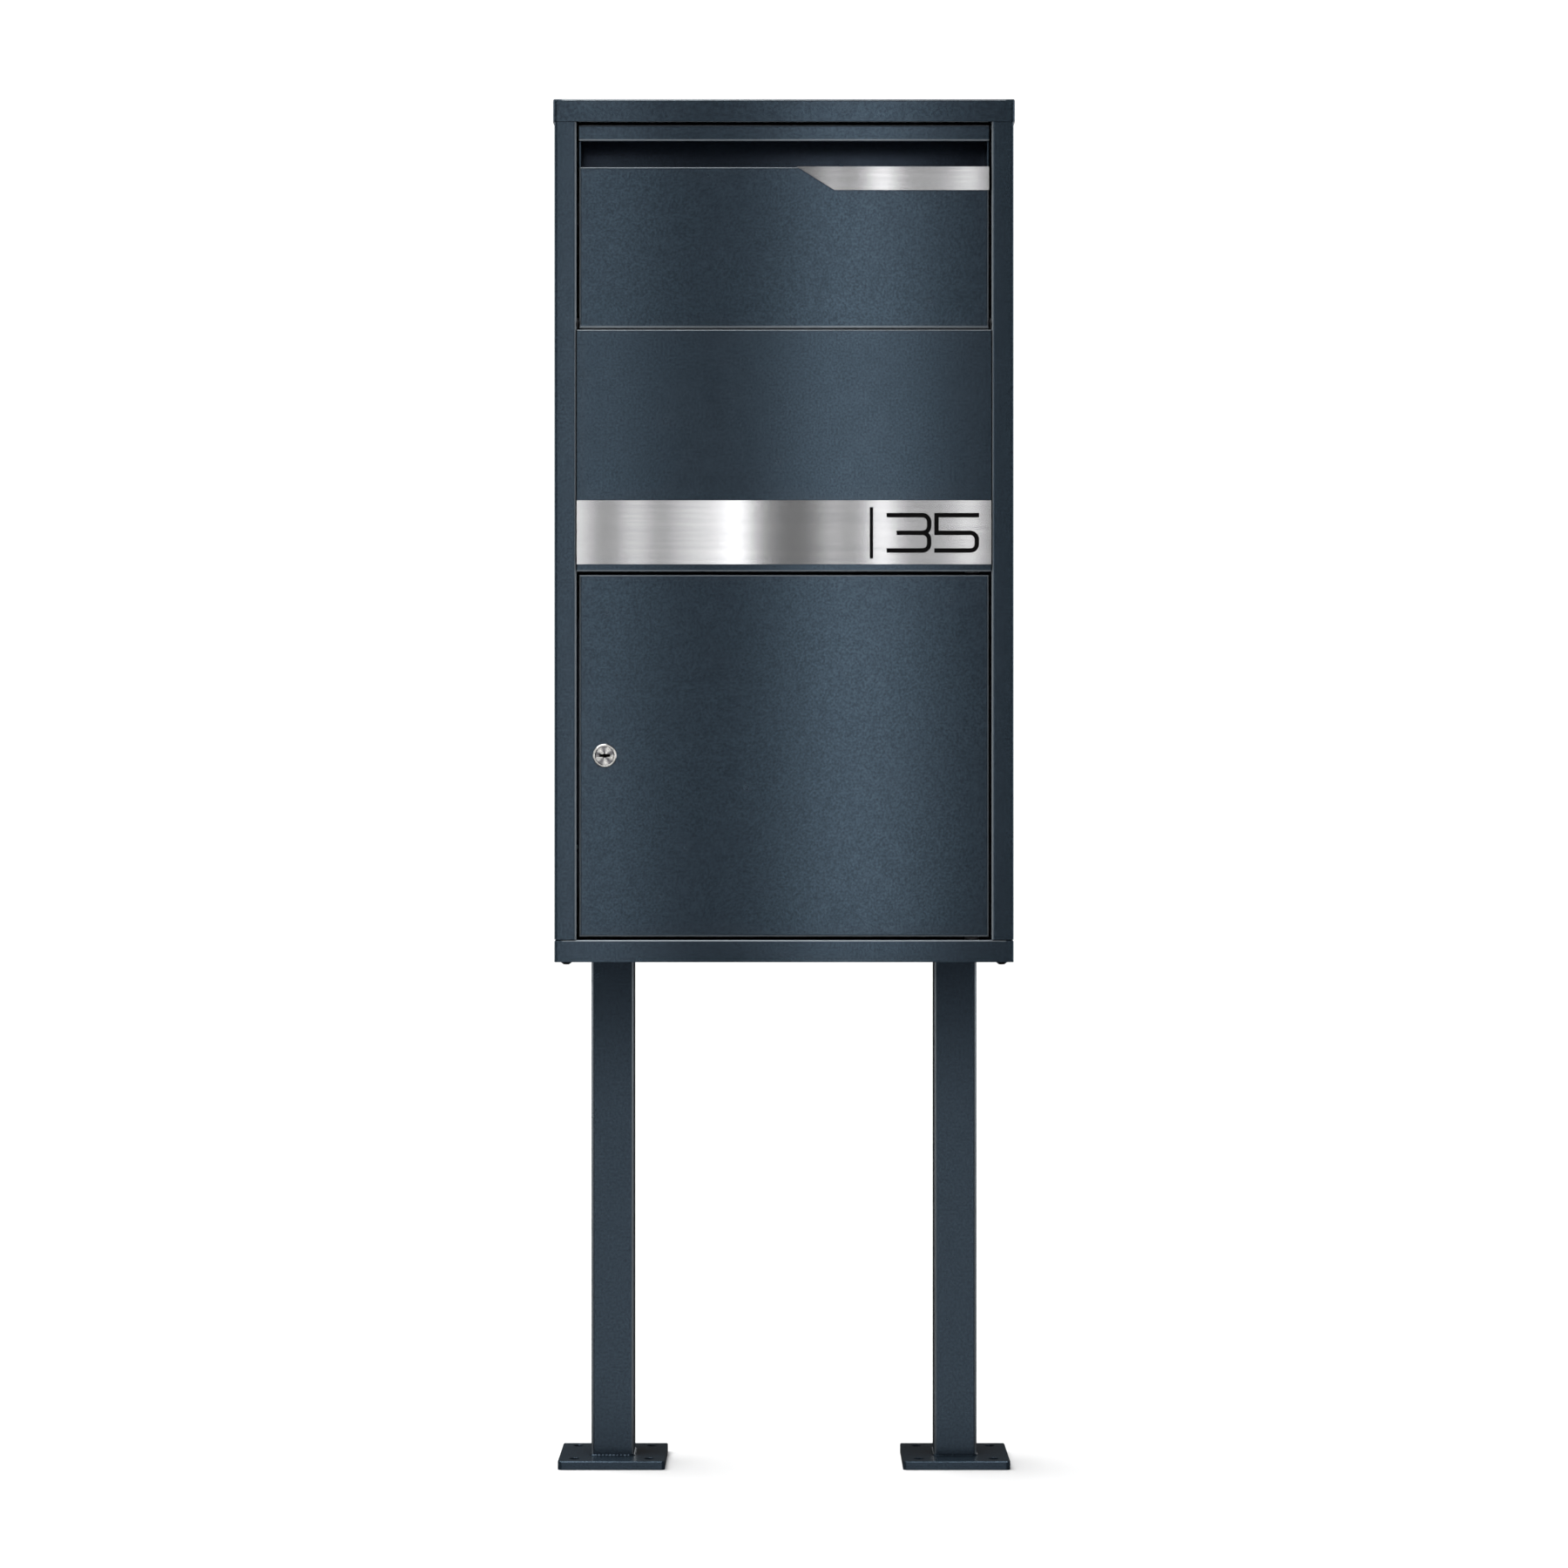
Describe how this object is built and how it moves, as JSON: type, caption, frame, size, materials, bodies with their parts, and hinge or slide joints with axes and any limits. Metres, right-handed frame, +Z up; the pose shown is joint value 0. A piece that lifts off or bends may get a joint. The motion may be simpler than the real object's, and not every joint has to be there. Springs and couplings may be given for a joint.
{
  "type": "parcel mailbox",
  "caption": "Free-standing sheet-metal parcel mailbox with a tilting hopper, a house number band, a lockable collection door and two posts with foot plates.",
  "frame": {"origin": "on the ground, at the centre of the footprint, midway between the two posts", "axes": "+X to the right seen from the front, +Y to the back, +Z up; the door and the hopper face -Y"},
  "size_m": [0.422, 0.4024, 1.25],
  "materials": {
    "powder_coat": "fine-textured satin anthracite powder coat on folded steel sheet",
    "brushed_stainless": "stainless sheet with a horizontal brushed grain",
    "lock_nickel": "satin nickel-plated die-cast lock",
    "zinc_plate": "bright zinc-plated steel",
    "nylon": "black moulded nylon",
    "rubber_pad": "black rubber",
    "black_film": "matt black adhesive film",
    "black_screw": "black-oxide screw steel"
  },
  "bodies": {
    "cabinet": {"side_panel_left": "powder_coat", "side_panel_right": "powder_coat", "base_pan": "powder_coat", "bottom_tray": "powder_coat", "back_panel": "powder_coat", "ceiling_plate": "powder_coat", "roof_cap": "powder_coat", "front_panel": "powder_coat", "number_band": "brushed_stainless", "house_number": "black_film", "latch_rail": "powder_coat", "hopper_bush_left": "nylon", "hopper_bush_right": "nylon", "door_bush_top": "nylon", "door_bush_bottom": "nylon", "end_blocks": "zinc_plate", "corner_screws": "black_screw", "cap_studs": "zinc_plate", "cap_nuts": "zinc_plate", "panel_rivets": "powder_coat", "back_rivets": "powder_coat", "latch_rivets": "powder_coat", "hopper_stops": "powder_coat", "hopper_pads": "rubber_pad", "door_buffers": "rubber_pad", "post_left": "powder_coat", "post_right": "powder_coat", "foot_plate_left": "powder_coat", "foot_plate_right": "powder_coat", "head_plate_left": "powder_coat", "head_plate_right": "powder_coat", "post_bolts": "zinc_plate", "post_washers": "zinc_plate"},
    "hopper": {"hopper_flap": "powder_coat", "grip_channel": "powder_coat", "chute_plate": "powder_coat", "hopper_cheek_left": "powder_coat", "hopper_cheek_right": "powder_coat", "hopper_rod": "black_screw", "name_plate": "brushed_stainless", "hopper_rivets": "powder_coat", "stop_pins": "zinc_plate"},
    "door": {"door_skin": "powder_coat", "door_stiffener": "powder_coat", "door_pivot_top": "black_screw", "door_pivot_bottom": "black_screw", "lock_body": "lock_nickel", "lock_washer": "zinc_plate", "lock_nut": "zinc_plate"},
    "lock_cylinder": {"lock_plug": "lock_nickel", "lock_cam": "zinc_plate", "cam_screw": "zinc_plate"}
  },
  "joints": [
    {"name": "hopper_tilt", "type": "hinge", "parent": "cabinet", "child": "hopper", "pos_m": [0, -0.1929, 1.0493], "axis": [1, 0, 0], "range_deg": [0, 75]},
    {"name": "door_swing", "type": "hinge", "parent": "cabinet", "child": "door", "pos_m": [0.168, -0.1915, 0.66425], "axis": [0, 0, 1], "range_deg": [0, 110]},
    {"name": "lock_turn", "type": "hinge", "parent": "door", "child": "lock_cylinder", "pos_m": [-0.16, -0.1985, 0.66425], "axis": [0, 1, 0], "range_deg": [0, 90]}
  ]
}
